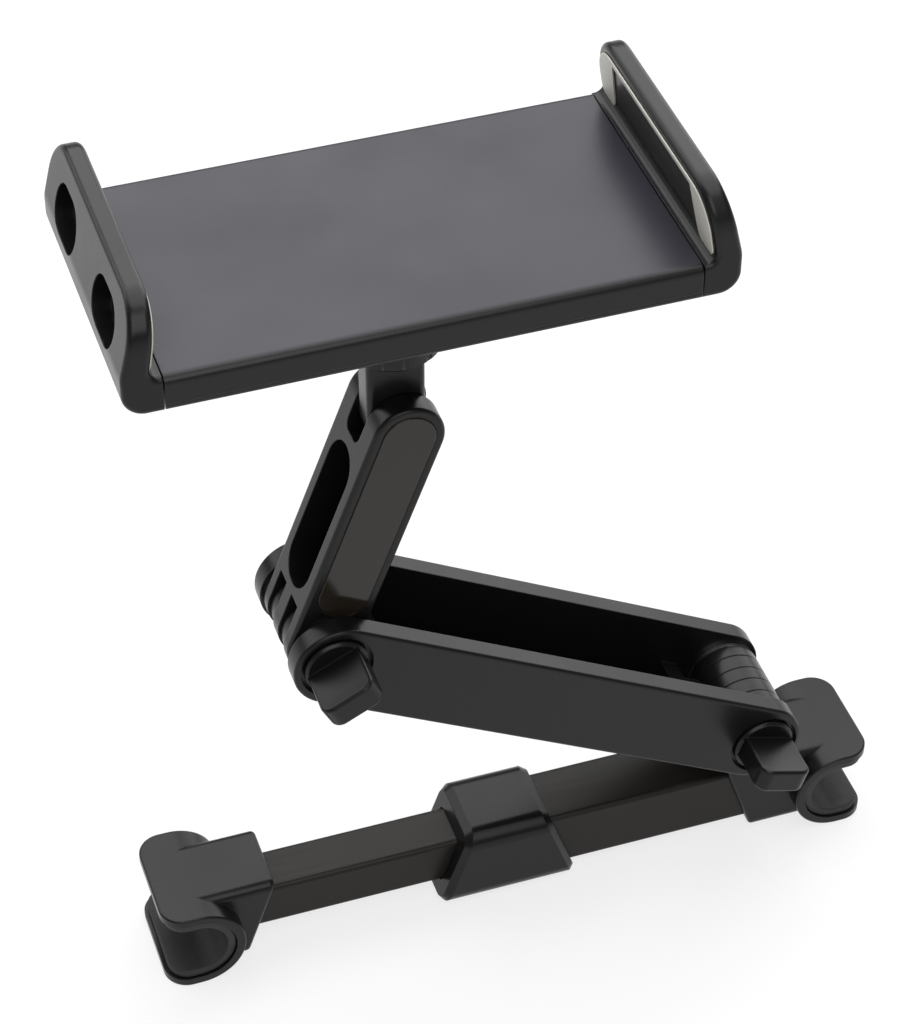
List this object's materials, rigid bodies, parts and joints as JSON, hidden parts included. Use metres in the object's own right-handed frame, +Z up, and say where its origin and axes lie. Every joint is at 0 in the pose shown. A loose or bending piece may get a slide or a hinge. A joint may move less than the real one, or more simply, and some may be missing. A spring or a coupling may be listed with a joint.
{
  "type": "headrest tablet mount",
  "caption": "Car headrest mount for a tablet: a telescopic bar with padded post clamps, two hinged arms with wing knobs, and a ball-jointed cradle with sprung jaws.",
  "frame": {"origin": "middle of the box that holds the part, at the bottom, where the two clamps stand", "axes": "+X along the telescopic bar from the left clamp to the right one, +Z up to the cradle, +Y away from the knobs and along the headrest posts"},
  "size_m": [0.187, 0.0676, 0.2225],
  "materials": {
    "black_abs": "fine satin",
    "gloss_trim": "gloss",
    "tube_steel": "satin black",
    "nylon": "matte",
    "liner_rubber": "matte",
    "pad_silicone": "matte",
    "bolt_steel": "satin"
  },
  "bodies": {
    "right_bar": {"outer_tube": "tube_steel", "bar_collar": "black_abs", "guide_bush": "nylon", "right_clamp_jaw": "black_abs", "right_jaw_liner": "liner_rubber", "right_tube_screw": "bolt_steel", "bar_spring": "bolt_steel"},
    "left_bar": {"inner_tube": "tube_steel", "slide_plug": "nylon", "left_clamp_jaw": "black_abs", "left_jaw_liner": "liner_rubber", "left_tube_screw": "bolt_steel"},
    "lower_arm_set": {"lower_arm": "black_abs", "base_washers": "nylon", "elbow_washers": "nylon", "base_bolt": "bolt_steel", "elbow_bolt": "bolt_steel"},
    "base_knob_set": {"base_knob": "black_abs"},
    "elbow_knob_set": {"elbow_knob": "black_abs"},
    "upper_arm_set": {"upper_arm": "black_abs", "front_trim": "gloss_trim", "back_trim": "gloss_trim", "tilt_pin": "bolt_steel"},
    "neck": {"ball_neck": "black_abs"},
    "seat": {"ball_seat": "nylon"},
    "cradle": {"cradle_cover": "black_abs", "cradle_body": "black_abs", "cover_screws": "bolt_steel", "front_jaw_spring": "bolt_steel", "back_jaw_spring": "bolt_steel"},
    "nut": {"ring_nut": "black_abs"},
    "right_jaw": {"right_cradle_jaw": "black_abs", "right_pad": "pad_silicone"},
    "left_jaw": {"left_cradle_jaw": "black_abs", "left_pad": "pad_silicone"}
  },
  "joints": [
    {"name": "bar_slide", "type": "slide", "parent": "right_bar", "child": "left_bar", "axis": [1, 0, 0], "range_m": [0, 0.036], "stiffness_N_per_m": 150, "springref_m": -0.02, "deforming": ["bar_spring"]},
    {"name": "base_swing", "type": "hinge", "parent": "right_bar", "child": "lower_arm_set", "pos_m": [0.06201, 0, 0.0377], "axis": [0, 1, 0], "range_deg": [-28, 60]},
    {"name": "base_knob_turn", "type": "hinge", "parent": "lower_arm_set", "child": "base_knob_set", "pos_m": [0.06201, 0, 0.0377], "axis": [0, 1, 0], "continuous": true},
    {"name": "elbow_knob_turn", "type": "hinge", "parent": "lower_arm_set", "child": "elbow_knob_set", "pos_m": [-0.04655, 0, 0.09825], "axis": [0, 1, 0], "continuous": true},
    {"name": "elbow_swing", "type": "hinge", "parent": "lower_arm_set", "child": "upper_arm_set", "pos_m": [-0.04655, 0, 0.09825], "axis": [0, -1, 0], "range_deg": [-50, 75]},
    {"name": "head_tilt", "type": "hinge", "parent": "upper_arm_set", "child": "neck", "pos_m": [-0.02751, 0, 0.15515], "axis": [0, 1, 0], "range_deg": [-45, 60]},
    {"name": "ball_pitch", "type": "hinge", "parent": "neck", "child": "seat", "pos_m": [-0.02751, 0, 0.18435], "axis": [1, 0, 0], "range_deg": [-14, 14]},
    {"name": "head_swivel", "type": "hinge", "parent": "seat", "child": "cradle", "pos_m": [-0.02751, 0, 0.18435], "axis": [0, 0, 1], "continuous": true},
    {"name": "ring_turn", "type": "hinge", "parent": "cradle", "child": "nut", "pos_m": [-0.02751, 0, 0.18435], "axis": [0, 0, 1], "continuous": true},
    {"name": "right_jaw_slide", "type": "slide", "parent": "cradle", "child": "right_jaw", "axis": [1, 0, 0], "range_m": [0, 0.04], "stiffness_N_per_m": 60, "springref_m": -0.03, "deforming": ["front_jaw_spring", "back_jaw_spring"]},
    {"name": "left_jaw_slide", "type": "slide", "parent": "cradle", "child": "left_jaw", "axis": [-1, 0, 0], "range_m": [0, 0.04], "stiffness_N_per_m": 60, "springref_m": -0.03, "deforming": ["front_jaw_spring", "back_jaw_spring"]}
  ]
}
